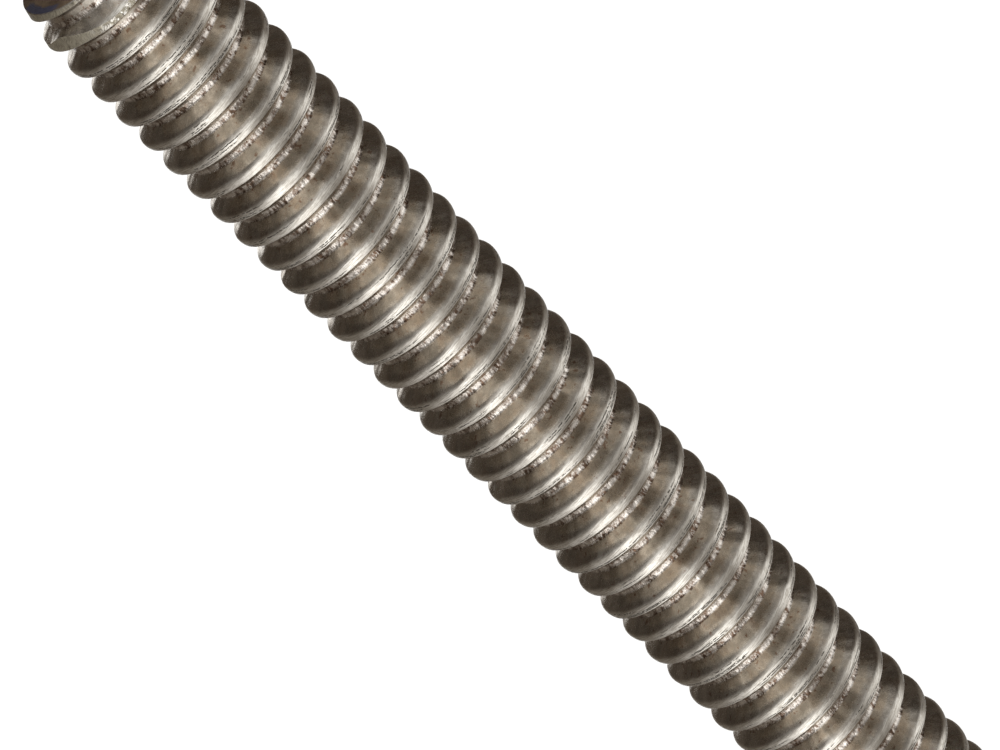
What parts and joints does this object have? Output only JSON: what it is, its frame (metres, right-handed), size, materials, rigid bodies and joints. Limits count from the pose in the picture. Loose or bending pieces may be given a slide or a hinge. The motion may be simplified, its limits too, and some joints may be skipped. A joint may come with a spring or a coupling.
{
  "type": "threaded rod",
  "caption": "Fully threaded steel rod with a right-hand V thread from end to end, flat end faces and shallow turned lead-ins.",
  "frame": {"origin": "centre of the lower end face, on which the rod stands", "axes": "+Z along the rod's axis, from the lower end face to the upper one"},
  "size_m": [0.0062, 0.0062, 0.0762],
  "materials": {
    "cut_steel": "bare steel with a rolled thread: bright crests with fine laps, warm grey flanks, rough roots with specks of rust"
  },
  "bodies": {
    "root": {"threaded_rod": "cut_steel"}
  },
  "joints": []
}
